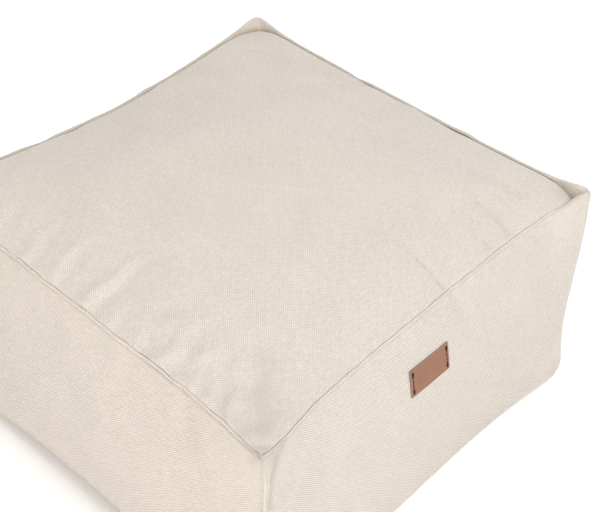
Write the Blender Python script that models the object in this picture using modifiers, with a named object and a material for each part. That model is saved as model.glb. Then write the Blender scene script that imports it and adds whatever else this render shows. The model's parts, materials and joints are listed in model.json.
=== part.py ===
"""A cube pouf stool: one stuffed canvas cushion of six sewn panels, with a leather patch on one side.

Frame: metres, +Z up, the floor at z = 0 under the flattened base. The patch is on the -Y side.
The cushion starts as a plain cube from -1 to 1. Each point of that cube is carried to the place that the
same point of the sewn cover has once it is stuffed, by adding up the pull of the seams, the gathering at
the corners, the fullness of the panels, the roll beside each seam and the puckers.
"""

import math
from collections import namedtuple

import bmesh
import bpy
from mathutils import Matrix, Vector

MM = 0.001

# Driving sizes of the stuffed cover.
TOP_HALF = 256 * MM  # half the width across the corner tips of the top
BASE_HALF = 267 * MM  # the same at the foot, where the filling has settled
TOP_SEAM_HEIGHT = 294.5 * MM  # corner tips above the floor
BASE_SEAM_HEIGHT = 12 * MM
TOP_CROWN = 30 * MM
SIDE_CROWN = 28 * MM
BASE_CROWN = 24 * MM  # more than the seam height, so the floor presses the middle of the base flat
SIDE_SAG = 0.7  # 1 leaves the fullest line of a side halfway up, and less lets it sink
UPRIGHT_DRAW_IN = 3.5 * MM  # the upright seams are drawn in this much halfway up
UPRIGHT_SETTLE = 2 * MM  # and this much more a quarter of the way up, and less three quarters up
EAR_BLUNTNESS = 9 * MM  # how far the tip of each ear is rounded off

# How evenly each panel fills out: 2 is a round arc, more is flatter in the middle.
ROUND_ARC = 2.0
TOP_FILL_POWER = 2.4
SIDE_FILL_POWER_ACROSS = 2.8
SIDE_FILL_POWER_UP = 2.1
BASE_FILL_POWER = 6.0

# The eight level seams. x and y name the side that a seam is on, level is 1 at the top and -1 at the base.
# Between its corners a seam is drawn in towards the middle and drops; a high power keeps it straighter.
Seam = namedtuple("Seam", "x y level draw_in drop power")
SEAMS = (
    Seam(0, -1, 1, 23 * MM, 4 * MM, 4.9),
    Seam(0, 1, 1, 19 * MM, 10 * MM, 1.5),
    Seam(-1, 0, 1, 14 * MM, 3 * MM, 4.9),
    Seam(1, 0, 1, 7.5 * MM, 1.5 * MM, 3.7),
    Seam(0, -1, -1, 22.5 * MM, 1 * MM, 2.75),
    Seam(0, 1, -1, 20 * MM, 3 * MM, 2.6),
    Seam(-1, 0, -1, 24 * MM, 3 * MM, 2.35),
    Seam(1, 0, -1, 16.5 * MM, 2 * MM, 2.6),
)

# The gathering at each corner. The seams are pulled in by pull_x and pull_y and down by drop, and the
# stiff corner of the cover stands out below them as a blunt ear that rises by lift and sticks out by out.
# The upright seam parts it by notch. The ear is as deep as depth, down the side, and reach_x and reach_y
# say how far along each level seam the gathering goes.
Corner = namedtuple("Corner", "x y level pull_x pull_y drop lift out notch depth reach_x reach_y")
CORNERS = (
    Corner(-1, -1, 1, 8 * MM, 16 * MM, 6 * MM, 8 * MM, 0, 2 * MM, 34 * MM, 48 * MM, 48 * MM),
    Corner(1, -1, 1, 15 * MM, 13 * MM, 7 * MM, 14 * MM, 3 * MM, 4 * MM, 15 * MM, 50 * MM, 80 * MM),
    Corner(1, 1, 1, 14 * MM, 18 * MM, 5 * MM, 13 * MM, 2 * MM, 2 * MM, 13 * MM, 75 * MM, 66 * MM),
    Corner(-1, 1, 1, 13 * MM, 15 * MM, 6 * MM, 12 * MM, 2 * MM, 5 * MM, 13 * MM, 55 * MM, 55 * MM),
    Corner(-1, -1, -1, 5 * MM, 5 * MM, 0, 0, 0, 0, 24 * MM, 30 * MM, 30 * MM),
    Corner(1, -1, -1, 5 * MM, 5 * MM, 0, 0, 0, 0, 24 * MM, 30 * MM, 30 * MM),
    Corner(1, 1, -1, 5 * MM, 5 * MM, 0, 0, 0, 0, 24 * MM, 30 * MM, 30 * MM),
    Corner(-1, 1, -1, 5 * MM, 5 * MM, 0, 0, 0, 0, 24 * MM, 30 * MM, 30 * MM),
)
NOTCH_WIDTH = 5 * MM

# How far each top corner of this hand-filled cover lies from an even square.
CornerShift = namedtuple("CornerShift", "x y shift")
CORNER_SHIFTS = (
    CornerShift(-1, -1, Vector((-2 * MM, -1 * MM, -2 * MM))),
    CornerShift(1, -1, Vector((-3.5 * MM, 3.5 * MM, -2.5 * MM))),
    CornerShift(1, 1, Vector((0.5 * MM, -1 * MM, 0))),
)

# The roll that the turned-in seam allowance lifts beside each seam, and the line of the seam itself.
ROLL_HEIGHT = 1.8 * MM
ROLL_FROM_SEAM = 4.2 * MM
ROLL_WIDTH = 3.0 * MM
SEAM_DEPTH = 1.8 * MM
SEAM_WIDTH = 2.2 * MM

# Puckers and creases. A pucker starts at a seam, at the place along it (-1 to 1), and dies away across the
# panel. face is the panel and edge the side of that panel where it starts. slant is how far it leans along
# the seam for each step away from it. height is above the cloth, and a trough is below nought.
Pucker = namedtuple("Pucker", "face edge along slant length width height")
PUCKERS = (
    Pucker("top", "left", 0.37, 0.33, 60 * MM, 9 * MM, 1.8 * MM),
    Pucker("top", "left", 0.21, 0.17, 80 * MM, 10 * MM, 2.0 * MM),
    Pucker("top", "left", 0.11, 0.10, 70 * MM, 10 * MM, -1.8 * MM),
    Pucker("top", "left", 0.01, 0.00, 105 * MM, 9 * MM, 3.0 * MM),
    Pucker("top", "left", -0.08, 0.00, 80 * MM, 9 * MM, -1.8 * MM),
    Pucker("top", "left", -0.28, 0.10, 60 * MM, 9 * MM, 1.6 * MM),
    Pucker("top", "left", -0.43, -0.05, 105 * MM, 10 * MM, 2.6 * MM),
    Pucker("top", "left", -0.55, -0.10, 90 * MM, 11 * MM, -1.8 * MM),
    Pucker("top", "left", -0.76, -0.20, 50 * MM, 9 * MM, 1.6 * MM),
    Pucker("top", "front", -0.93, 1.00, 110 * MM, 13 * MM, -3.4 * MM),
    Pucker("top", "front", 0.10, 0.07, 80 * MM, 7 * MM, -1.6 * MM),
    Pucker("top", "front", 0.55, 0.28, 100 * MM, 9 * MM, -1.8 * MM),
    Pucker("top", "front", 0.64, 0.20, 95 * MM, 10 * MM, 1.6 * MM),
    Pucker("top", "right", -0.30, 0.00, 60 * MM, 14 * MM, -1.8 * MM),
    Pucker("top", "right", -0.08, 0.05, 55 * MM, 13 * MM, 1.4 * MM),
    Pucker("top", "right", 0.22, -0.05, 65 * MM, 14 * MM, -1.4 * MM),
    Pucker("top", "back", 0.30, 0.00, 60 * MM, 15 * MM, 1.2 * MM),
    Pucker("top", "back", -0.25, 0.05, 70 * MM, 14 * MM, -1.4 * MM),
    Pucker("front", "top", -0.89, -0.62, 55 * MM, 8 * MM, -3.6 * MM),
    Pucker("front", "top", 0.17, 0.20, 75 * MM, 9 * MM, -2.2 * MM),
    Pucker("front", "top", 0.23, 0.35, 95 * MM, 9 * MM, 1.8 * MM),
    Pucker("front", "top", 0.78, 0.15, 80 * MM, 12 * MM, -2.0 * MM),
    Pucker("left", "top", -0.56, 0.00, 130 * MM, 14 * MM, -2.6 * MM),
    Pucker("left", "top", -0.20, -0.05, 140 * MM, 13 * MM, 2.0 * MM),
    Pucker("left", "top", 0.42, -0.50, 150 * MM, 16 * MM, -2.2 * MM),
    Pucker("right", "top", 0.30, 0.10, 120 * MM, 14 * MM, -2.2 * MM),
    Pucker("right", "top", -0.35, -0.10, 110 * MM, 13 * MM, 1.8 * MM),
    Pucker("back", "top", -0.40, 0.10, 120 * MM, 14 * MM, -2.2 * MM),
    Pucker("back", "top", 0.20, 0.05, 120 * MM, 13 * MM, 1.8 * MM),
)
PUCKER_START = 8 * MM  # a pucker reaches its full height this far from the seam
PUCKER_AT_SEAM = 0.35  # share of that height at the seam itself
PUCKER_FADING = 1.5  # power by which it dies away

# The slow unevenness of a stuffed cover: a wave along each axis, in turns of a radian and where it starts.
SWELL_HEIGHT = 1.2 * MM
SWELL_TURNS = (2.3, 3.1, 1.7)
SWELL_STARTS = (0.7, -1.1, 0.0)

# Cells of the cover along X, Y and Z: narrow beside each seam, at these distances from it, then even.
CELLS = (42, 42, 17)
SEAM_STEPS = (0.0, 3.5 * MM, 8.5 * MM, 16 * MM)

# The leather patch on the front panel.
PATCH_WIDTH = 60 * MM
PATCH_HEIGHT = 32 * MM
PATCH_THICKNESS = 2.0 * MM
PATCH_GAP = 0.3 * MM
PATCH_ALONG = -0.074  # place on the front panel, from -1 to 1 across and up
PATCH_UP = 0.545
PATCH_TILT = math.radians(-1.5)
PATCH_EDGE = 0.5 * MM  # worn edge of the leather
PATCH_CELLS = (10, 1, 5)
EDGE_STEPS = 2  # steps that round the patch's edge

CANVAS_COLOUR = (0.80, 0.73, 0.64, 1.0)
CANVAS_ROUGHNESS = 0.92
LEATHER_COLOUR = (0.38, 0.17, 0.11, 1.0)
LEATHER_ROUGHNESS = 0.62

SHARP_ANGLE = math.radians(50)  # a sharper bend than this is an edge
TINY = 1e-6
SURFACE_STEP = 0.01  # step on the plain cube by which the slope of a panel is felt out


def fade(distance, reach):
    """1 at no distance, falling with a sharp tip to 0 at the reach."""
    return max(0.0, 1.0 - distance / reach) ** 2


def blunt(distance, radius):
    """The same distance with its start rounded off."""
    return math.hypot(distance, radius) - radius


def arch(place):
    """A round arch of height 1 halfway between 0 and 1, and nothing outside them."""
    return max(0.0, 1.0 - (2.0 * place - 1.0) ** 2)


def bell(distance, width):
    """A round hump of height 1."""
    return math.exp(-((distance / width) ** 2))


def fullness(place, power):
    """How full a panel is from one seam (-1) to the other (1)."""
    return 1.0 - abs(place) ** power


def half_width(cube):
    """Half the width of the cover across its corner tips, at this height."""
    rise = (cube.z + 1.0) / 2.0
    return BASE_HALF + (TOP_HALF - BASE_HALF) * rise


def corner_box(cube):
    """The straight-sided box through the corner tips."""
    rise = (cube.z + 1.0) / 2.0
    half = half_width(cube)
    height = BASE_SEAM_HEIGHT + (TOP_SEAM_HEIGHT - BASE_SEAM_HEIGHT) * rise
    return Vector((cube.x * half, cube.y * half, height))


def depths(cube):
    """Distances from the nearest side in X, in Y, and from the top or base seam."""
    half = half_width(cube)
    half_height = (TOP_SEAM_HEIGHT - BASE_SEAM_HEIGHT) / 2.0
    across = (1.0 - abs(cube.x)) * half
    along = (1.0 - abs(cube.y)) * half
    down = (1.0 - abs(cube.z)) * half_height
    return Vector((across, along, down))


def seam_pull(cube):
    """The panels draw each level seam in between its corners."""
    pull = Vector()
    for seam in SEAMS:
        place = cube.x if seam.y else cube.y
        nearness = (1.0 + cube.x * seam.x + cube.y * seam.y) / 2.0
        share = nearness * (1.0 + cube.z * seam.level) / 2.0
        amount = fullness(place, seam.power) * share
        pull += Vector((-seam.x * seam.draw_in, -seam.y * seam.draw_in, -seam.drop)) * amount
    upright = UPRIGHT_DRAW_IN * fullness(cube.z, ROUND_ARC) - UPRIGHT_SETTLE * math.sin(math.pi * cube.z)
    pull -= Vector((cube.x * upright, cube.y * upright, 0.0))
    return pull


def corner_shift(cube):
    """Carries each top corner away from the even square, and the cloth around it in proportion."""
    shift = Vector()
    for corner in CORNER_SHIFTS:
        share = (1.0 + cube.x * corner.x) / 2.0 * (1.0 + cube.y * corner.y) / 2.0
        shift += corner.shift * share * (1.0 + cube.z) / 2.0
    return shift


def corner_pull(cube):
    """The seams gather in at the corners, and an ear stands out below them."""
    pull = Vector()
    away = depths(cube)
    for corner in CORNERS:
        if cube.x * corner.x < 0 or cube.y * corner.y < 0 or cube.z * corner.level < 0:
            continue
        near = fade(away.x, corner.reach_x) * fade(away.y, corner.reach_y)
        side = Vector((corner.x, corner.y, corner.level))
        inwards = side * Vector((-corner.pull_x, -corner.pull_y, -corner.drop))
        pull += inwards * near * fade(away.z, corner.depth)
        outwards = side * Vector((corner.out, corner.out, corner.lift))
        ear = fade(blunt(away.x, EAR_BLUNTNESS), corner.reach_x)
        ear *= fade(blunt(away.y, EAR_BLUNTNESS), corner.reach_y)
        pull += outwards * ear * arch(away.z / corner.depth)
        from_upright = max(away.x, away.y)
        notch = corner.notch * bell(from_upright, NOTCH_WIDTH) * arch(away.z / corner.depth)
        pull -= side.normalized() * notch
    return pull


def panel_crown(cube):
    """The filling pushes each panel out."""
    crown = Vector()
    if abs(cube.z) > 1.0 - TINY:
        power = TOP_FILL_POWER if cube.z > 0 else BASE_FILL_POWER
        height = TOP_CROWN if cube.z > 0 else -BASE_CROWN
        crown.z += height * fullness(cube.x, power) * fullness(cube.y, power)
    sunk = 2.0 * max(0.0, (cube.z + 1.0) / 2.0) ** SIDE_SAG - 1.0
    upright = fullness(sunk, SIDE_FILL_POWER_UP)
    if abs(cube.x) > 1.0 - TINY:
        crown.x += cube.x * SIDE_CROWN * fullness(cube.y, SIDE_FILL_POWER_ACROSS) * upright
    if abs(cube.y) > 1.0 - TINY:
        crown.y += cube.y * SIDE_CROWN * fullness(cube.x, SIDE_FILL_POWER_ACROSS) * upright
    return crown


def outward(cube):
    """Roughly straight out of the cover: the sum of the panels that meet here."""
    sides = [round(c) if abs(c) > 1.0 - TINY else 0 for c in cube]
    return Vector(sides).normalized()


def seam_relief(cube):
    """The line of each seam is drawn in, and the turned-in allowance lifts a roll beside it."""
    away = sorted(depths(cube))
    from_seam = away[1]
    out = outward(cube)
    relief = out * -SEAM_DEPTH * bell(from_seam, SEAM_WIDTH)
    if abs(cube.z) < 1.0 - TINY:
        relief += out * ROLL_HEIGHT * bell(from_seam - ROLL_FROM_SEAM, ROLL_WIDTH)
    return relief


def panel_edges(cube):
    """Each panel that this point is on, with the depth in metres from an edge and the place along it."""
    half = half_width(cube)
    down = (1.0 - cube.z) * (TOP_SEAM_HEIGHT - BASE_SEAM_HEIGHT) / 2.0
    if cube.z > 1.0 - TINY:
        yield "top", "left", (1.0 + cube.x) * half, cube.y
        yield "top", "right", (1.0 - cube.x) * half, cube.y
        yield "top", "front", (1.0 + cube.y) * half, cube.x
        yield "top", "back", (1.0 - cube.y) * half, cube.x
    if abs(cube.y) > 1.0 - TINY:
        yield "back" if cube.y > 0 else "front", "top", down, cube.x
    if abs(cube.x) > 1.0 - TINY:
        yield "right" if cube.x > 0 else "left", "top", down, cube.y


def puckers(cube):
    """Gathers and creases that run from a seam across a panel."""
    half = half_width(cube)
    height = 0.0
    for face, edge, depth, along in panel_edges(cube):
        start = min(1.0, PUCKER_AT_SEAM + depth / PUCKER_START)
        for pucker in PUCKERS:
            if (pucker.face, pucker.edge) != (face, edge) or depth >= pucker.length:
                continue
            offset = (along - pucker.along) * half - pucker.slant * depth
            fading = (1.0 - depth / pucker.length) ** PUCKER_FADING
            height += pucker.height * bell(offset, pucker.width) * start * fading
    return outward(cube) * height


def swell(cube):
    """A slow unevenness, none at the seams."""
    waves = sum(math.sin(turns * c + start) for turns, c, start in zip(SWELL_TURNS, cube, SWELL_STARTS))
    inside = fullness(sorted(abs(c) for c in cube)[1], ROUND_ARC)
    return outward(cube) * SWELL_HEIGHT * waves * inside


def stuffed(cube):
    """Where a point of the plain cube lies on the stuffed cover. The floor stops it at z = 0."""
    point = corner_box(cube) + corner_shift(cube) + seam_pull(cube) + corner_pull(cube)
    point += panel_crown(cube) + seam_relief(cube) + puckers(cube) + swell(cube)
    point.z = max(point.z, 0.0)
    return point


def cell_lines(cells, half_span):
    """Places from -1 to 1 of the lines between the cells along one axis."""
    steps = [step / half_span for step in SEAM_STEPS]
    inner = cells - 2 * (len(steps) - 1)
    middle = [(1.0 - steps[-1]) * (2.0 * number / inner - 1.0) for number in range(1, inner)]
    return [step - 1.0 for step in steps] + middle + [1.0 - step for step in reversed(steps)]


def cut_across(mesh, axis, cells):
    """Cuts every edge that runs along one axis into this many cells."""
    runs = []
    for edge in mesh.edges:
        run = edge.verts[1].co - edge.verts[0].co
        if abs(run[axis]) > TINY:
            runs.append(edge)
    bmesh.ops.subdivide_edges(mesh, edges=runs, cuts=cells - 1, use_grid_fill=True)


def material(name, colour, roughness):
    """A matt material of one colour."""
    made = bpy.data.materials.new(name)
    made.use_nodes = True
    shader = made.node_tree.nodes["Principled BSDF"]
    shader.inputs["Base Color"].default_value = colour
    shader.inputs["Roughness"].default_value = roughness
    shader.inputs["Metallic"].default_value = 0.0
    return made


def place_object(name, mesh, finish, collection):
    """Turns a finished bmesh into an object of its own."""
    data = bpy.data.meshes.new(name)
    mesh.to_mesh(data)
    mesh.free()
    data.materials.append(finish)
    data.shade_smooth()
    data.set_sharp_from_angle(angle=SHARP_ANGLE)
    made = bpy.data.objects.new(name, data)
    collection.objects.link(made)
    return made


def make_body(collection):
    """The stuffed cover, with the part of its base that lies on the floor as one flat face."""
    mesh = bmesh.new()
    bmesh.ops.create_cube(mesh, size=2.0)
    for axis, cells in enumerate(CELLS):
        cut_across(mesh, axis, cells)
    half_height = (TOP_SEAM_HEIGHT - BASE_SEAM_HEIGHT) / 2.0
    spans = (TOP_HALF, TOP_HALF, half_height)
    lines = [cell_lines(cells, span) for cells, span in zip(CELLS, spans)]
    for vertex in mesh.verts:
        numbers = [round((place + 1.0) / 2.0 * cells) for place, cells in zip(vertex.co, CELLS)]
        vertex.co = stuffed(Vector(line[number] for line, number in zip(lines, numbers)))
    flat = [face for face in mesh.faces if all(v.co.z < TINY for v in face.verts)]
    bmesh.ops.dissolve_faces(mesh, faces=flat, use_verts=False)
    bmesh.ops.recalc_face_normals(mesh, faces=mesh.faces)
    finish = material("canvas", CANVAS_COLOUR, CANVAS_ROUGHNESS)
    return place_object("pouf_body", mesh, finish, collection)


def front_surface(across, up):
    """A point of the front panel, and how far it moves for a unit of the cube along and up the panel."""
    here = stuffed(Vector((across, -1.0, up)))
    beside = stuffed(Vector((across + SURFACE_STEP, -1.0, up)))
    above = stuffed(Vector((across, -1.0, up + SURFACE_STEP)))
    return here, (beside - here) / SURFACE_STEP, (above - here) / SURFACE_STEP


def make_patch(collection):
    """The leather patch, bent to the front panel and a hair clear of it."""
    mesh = bmesh.new()
    bmesh.ops.create_cube(mesh, size=2.0)
    for axis, cells in enumerate(PATCH_CELLS):
        cut_across(mesh, axis, cells)
    _, across_rate, up_rate = front_surface(PATCH_ALONG, PATCH_UP)
    for vertex in mesh.verts:
        level = Vector((vertex.co.x * PATCH_WIDTH / 2.0, vertex.co.z * PATCH_HEIGHT / 2.0))
        level.rotate(Matrix.Rotation(PATCH_TILT, 2))
        across = PATCH_ALONG + level.x / across_rate.length
        up = PATCH_UP + level.y / up_rate.length
        here, beside, above = front_surface(across, up)
        layer = (1.0 - vertex.co.y) / 2.0
        out = beside.cross(above).normalized()
        vertex.co = here + out * (PATCH_GAP + PATCH_THICKNESS * layer)
    bmesh.ops.recalc_face_normals(mesh, faces=mesh.faces)
    finish = material("leather", LEATHER_COLOUR, LEATHER_ROUGHNESS)
    patch = place_object("label_patch", mesh, finish, collection)
    edge = patch.modifiers.new("worn_edge", "BEVEL")
    edge.width = PATCH_EDGE
    edge.segments = EDGE_STEPS
    edge.limit_method = "ANGLE"
    edge.angle_limit = SHARP_ANGLE
    return patch


def centre(body, pieces):
    """Brings the middle of the body's box over the origin."""
    for axis in (0, 1):
        places = [vertex.co[axis] for vertex in body.data.vertices]
        shift = (min(places) + max(places)) / 2.0
        for piece in pieces:
            for vertex in piece.data.vertices:
                vertex.co[axis] -= shift


def main():
    """Clears the scene and makes the pouf."""
    for old in list(bpy.data.objects):
        bpy.data.objects.remove(old, do_unlink=True)
    collection = bpy.data.collections.new("cube_pouf_stool")
    bpy.context.scene.collection.children.link(collection)
    body = make_body(collection)
    patch = make_patch(collection)
    centre(body, (body, patch))


main()
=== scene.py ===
"""Cube pouf stool with its looks: a stuffed canvas cover of six sewn panels and a leather patch.

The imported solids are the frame. The cover is worked out again on the same sizes as a finer surface, with
the line and the roll of each seam, the gathers and the give of the cloth, and it stands for the plain solid.
The patch and its thread lie on that surface. Lengths are in metres, +Z is up and the patch faces -Y.
"""

import json
import logging
import math
from dataclasses import dataclass, field, replace
from enum import Enum
from typing import Any

import bpy
import numpy as np
from mathutils import Matrix, Vector

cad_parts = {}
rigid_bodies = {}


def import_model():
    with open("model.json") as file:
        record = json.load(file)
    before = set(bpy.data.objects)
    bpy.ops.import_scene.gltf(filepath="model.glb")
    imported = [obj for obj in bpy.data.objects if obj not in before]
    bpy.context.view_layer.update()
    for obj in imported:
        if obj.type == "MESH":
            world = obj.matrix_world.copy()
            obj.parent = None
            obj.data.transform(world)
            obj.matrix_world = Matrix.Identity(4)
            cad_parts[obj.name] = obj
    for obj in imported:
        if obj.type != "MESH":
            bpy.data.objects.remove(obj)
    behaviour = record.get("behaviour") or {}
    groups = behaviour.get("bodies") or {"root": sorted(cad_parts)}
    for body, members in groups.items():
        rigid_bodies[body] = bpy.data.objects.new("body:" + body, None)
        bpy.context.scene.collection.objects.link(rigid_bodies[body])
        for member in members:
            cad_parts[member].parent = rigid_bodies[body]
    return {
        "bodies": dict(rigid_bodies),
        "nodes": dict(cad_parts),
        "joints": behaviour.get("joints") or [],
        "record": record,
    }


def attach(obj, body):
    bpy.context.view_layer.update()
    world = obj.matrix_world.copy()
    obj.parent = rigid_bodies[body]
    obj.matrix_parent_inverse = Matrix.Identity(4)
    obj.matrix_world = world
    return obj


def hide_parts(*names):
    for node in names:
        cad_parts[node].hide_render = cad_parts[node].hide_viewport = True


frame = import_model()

LOG = logging.getLogger("pouf")
MM = 0.001
BODY = "root"
ROUND_ARC = 2.0
TINY = 1e-9
PATCH_SIZE = (60 * MM, 32 * MM)
PATCH_PLACE = (-0.074, 0.545)


def millimetres(*sizes: float) -> tuple[float, ...]:
    """Sizes that are given in millimetres, in metres."""
    return tuple(size * MM for size in sizes)


def fade(distance: np.ndarray, reach: float) -> np.ndarray:
    """1 at no distance, falling with a sharp tip to 0 at the reach."""
    return np.clip(1.0 - distance / reach, 0.0, None) ** 2


def arch(place: np.ndarray) -> np.ndarray:
    """A round arch of height 1 halfway between 0 and 1, and nothing outside them."""
    return np.clip(1.0 - (2.0 * place - 1.0) ** 2, 0.0, None)


def blunt(distance: np.ndarray, radius: float) -> np.ndarray:
    """The same distance with its start rounded off."""
    return np.hypot(distance, radius) - radius


def bell(distance: np.ndarray, width: float) -> np.ndarray:
    """A round hump of height 1."""
    return np.exp(-((distance / width) ** 2))


def fullness(place: np.ndarray, power: float) -> np.ndarray:
    """How full a panel is from one seam (-1) to the other (1): a high power fills it out to its seams."""
    return 1.0 - np.abs(place) ** power


def settle(share: np.ndarray) -> np.ndarray:
    """0 at nought and 1 from one on, with a soft start and end."""
    share = np.clip(share, 0.0, 1.0)
    return share * share * (3.0 - 2.0 * share)


def unit(vectors: np.ndarray) -> np.ndarray:
    """The same directions with a length of 1."""
    return vectors / np.maximum(np.linalg.norm(vectors, axis=-1, keepdims=True), TINY)


def grid_lines(steps: np.ndarray, cells: int) -> np.ndarray:
    """Places from -1 to 1: the given steps in from each end, and so many even cells between them."""
    middle = np.linspace(steps[-1] - 1.0, 1.0 - steps[-1], cells + 1)
    return np.concatenate([steps[:-1] - 1.0, middle, 1.0 - steps[-2::-1]])


def spline(gap: np.ndarray) -> np.ndarray:
    """The weight of a grid point at a gap of so many cells: a smooth hump, two cells wide on each side."""
    gap = np.abs(gap)
    return np.where(gap < 1.0, 2.0 / 3.0 - gap**2 + gap**3 / 2.0, np.clip(2.0 - gap, 0.0, None) ** 3 / 6.0)


def read_grid(heights: np.ndarray, places: np.ndarray) -> np.ndarray:
    """Reads an even grid of heights between its points.

    Args:
        heights: The heights, in rows and columns that reach from -1 to 1.
        places: Places from -1 to 1 in both directions, one row each.

    Returns:
        A smooth height for each place.
    """
    last = np.array(heights.shape) - 1
    spots = (places + 1.0) / 2.0 * last
    cells = np.floor(spots).astype(int)
    total = np.zeros(len(places))
    for row in range(-1, 3):
        for column in range(-1, 3):
            point = cells + (row, column)
            weight = np.prod(spline(spots - point), axis=1)
            total += weight * heights[tuple(np.clip(point, 0, last).T)]
    return total


class Panel(Enum):
    """A panel of the cover: the axis of the plain cube that it is square to, and on which side."""

    LEFT = (0, -1)
    RIGHT = (0, 1)
    FRONT = (1, -1)
    BACK = (1, 1)
    BASE = (2, -1)
    TOP = (2, 1)

    @property
    def axis(self) -> int:
        """Number of the axis."""
        return self.value[0]

    @property
    def side(self) -> int:
        """-1 or 1."""
        return self.value[1]

    def ways(self) -> list[int]:
        """The two axes along the panel, in order."""
        return [axis for axis in range(3) if axis != self.axis]

    def turned_ways(self) -> list[int]:
        """The two axes along the panel, in the order that makes a cell face out on the far side."""
        return [(self.axis + 1) % 3, (self.axis + 2) % 3]

    def out(self) -> np.ndarray:
        """The direction out of the panel."""
        way = np.zeros(3)
        way[self.axis] = self.side
        return way

    def holds(self, cube: np.ndarray) -> np.ndarray:
        """Which points of the plain cube lie on this panel."""
        return cube[:, self.axis] * self.side > 1.0 - TINY


def third_axis(first: Panel, second: Panel) -> int:
    """The axis along the seam between two panels."""
    return 3 - first.axis - second.axis


@dataclass(frozen=True)
class LevelSeam:
    """How a level seam of the top or the base lies between its corners.

    draw_in and drop are its pull towards the middle and down, and a high power keeps it straighter.
    """

    side: Panel
    level: int
    draw_in: float
    drop: float
    power: float


@dataclass(frozen=True)
class Corner:
    """The gathering at one corner of the cover and the stiff ear that stands out below it."""

    x: int
    y: int
    level: int
    pull_x: float
    pull_y: float
    drop: float
    lift: float
    out: float
    notch: float
    depth: float
    reach_x: float
    reach_y: float
    shift: tuple[float, float, float] = (0.0, 0.0, 0.0)


@dataclass(frozen=True)
class Pucker:
    """A ridge, or a trough below nought, that runs from a seam across a panel and dies away.

    along is its place on the seam from -1 to 1, and slant how far it leans for each step away from it.
    start is the depth at which it has its full height.
    """

    panel: Panel
    beside: Panel
    along: float
    slant: float
    length: float
    width: float
    height: float
    start: float = 8 * MM


@dataclass(frozen=True)
class Fold:
    """A fold drawn between two places of a panel, in its two level or upright directions from -1 to 1.

    height lifts it, or sinks it below nought. step leans it, up on the left of the way from start to end.
    fading is how much of it is gone at its end, and soft how far it runs out past its ends. shade darkens
    its middle line, where the hollow lies, with painted shade in the seams' colour.
    """

    panel: Panel
    start: tuple[float, float]
    end: tuple[float, float]
    width: float
    height: float
    step: float
    fading: float
    soft: float
    shade: float


@dataclass(frozen=True)
class SeamRoll:
    """The line of a seam, and the roll that the turned-in cloth lifts on one of its panels.

    Beyond the roll a faint second line shows where the turned-in cloth ends. uneven is how much the roll
    differs along the seam, and wobble how far the seam wanders. The roll dies away over roll_end before the
    corners, its painted shade over shade_end, and the line over line_end. The shades are painted into the
    cloth's colour: shade darkens the line as painted groove shade with some soil, edge_shade the second
    line as a painted shadow, roll_shade the whole strip from the line to the top of the roll as painted
    shade with some soil, and under_shade softly the rolled panel beside the line as painted shade.
    """

    rolled: Panel
    beside: Panel
    height: float
    distance: float
    width: float
    lift: float
    line_depth: float = 1.4 * MM
    line_width: float = 1.1 * MM
    shade: float = 1.0
    edge_depth: float = 0.0
    edge_distance: float = 2.9 * MM
    edge_shade: float = 0.0
    uneven: float = 0.0
    wobble: float = 0.6 * MM
    roll_end: float = 10 * MM
    line_end: float = TINY
    roll_shade: float = 0.0
    shade_end: float = 40 * MM
    under_shade: float = 0.0


@dataclass
class CubeGrid:
    """Lines across a plain cube from -1 to 1, with the points and cells that they make on its skin."""

    lines: tuple[np.ndarray, np.ndarray, np.ndarray]
    points: np.ndarray = field(init=False)
    quads: np.ndarray = field(init=False)
    panels: np.ndarray = field(init=False)
    numbers: dict[Panel, np.ndarray] = field(init=False)

    def __post_init__(self) -> None:
        """Numbers the points of the skin once each, and lists the cells of each panel, facing out."""
        counts = [len(line) for line in self.lines]
        keys: list[np.ndarray] = []
        quads: list[np.ndarray] = []
        panels: list[np.ndarray] = []
        for number, panel in enumerate(Panel):
            across, up = panel.turned_ways()
            first, second = np.meshgrid(np.arange(counts[across]), np.arange(counts[up]), indexing="ij")
            index = [np.zeros_like(first)] * 3
            index[panel.axis] = np.full_like(first, counts[panel.axis] - 1 if panel.side > 0 else 0)
            index[across], index[up] = first, second
            key = (index[0] * counts[1] + index[1]) * counts[2] + index[2]
            corners = [key[:-1, :-1], key[1:, :-1], key[1:, 1:], key[:-1, 1:]]
            cells = np.stack([corner.ravel() for corner in corners[:: panel.side]], axis=1)
            keys.append(key)
            quads.append(cells)
            panels.append(np.full(len(cells), number))
        used, places = np.unique(np.concatenate([key.ravel() for key in keys]), return_inverse=True)
        ends = np.cumsum([key.size for key in keys])[:-1]
        self.numbers = {
            panel: part.reshape(key.shape)
            for panel, part, key in zip(Panel, np.split(places, ends), keys)
        }
        self.quads = np.searchsorted(used, np.concatenate(quads))
        self.panels = np.concatenate(panels)
        rest, k = np.divmod(used, counts[2])
        i, j = np.divmod(rest, counts[1])
        self.points = np.stack([line[n] for line, n in zip(self.lines, (i, j, k))], axis=1)

    def normals(self, places: np.ndarray) -> np.ndarray:
        """The direction straight out of the skin at each point.

        Args:
            places: Where each point of the grid has been carried.

        Returns:
            One unit vector for each point.
        """
        corners = places[self.quads]
        faces = np.cross(corners[:, 2] - corners[:, 0], corners[:, 3] - corners[:, 1])
        sums = np.zeros_like(places)
        for corner in range(4):
            np.add.at(sums, self.quads[:, corner], faces)
        return unit(sums)


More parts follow.
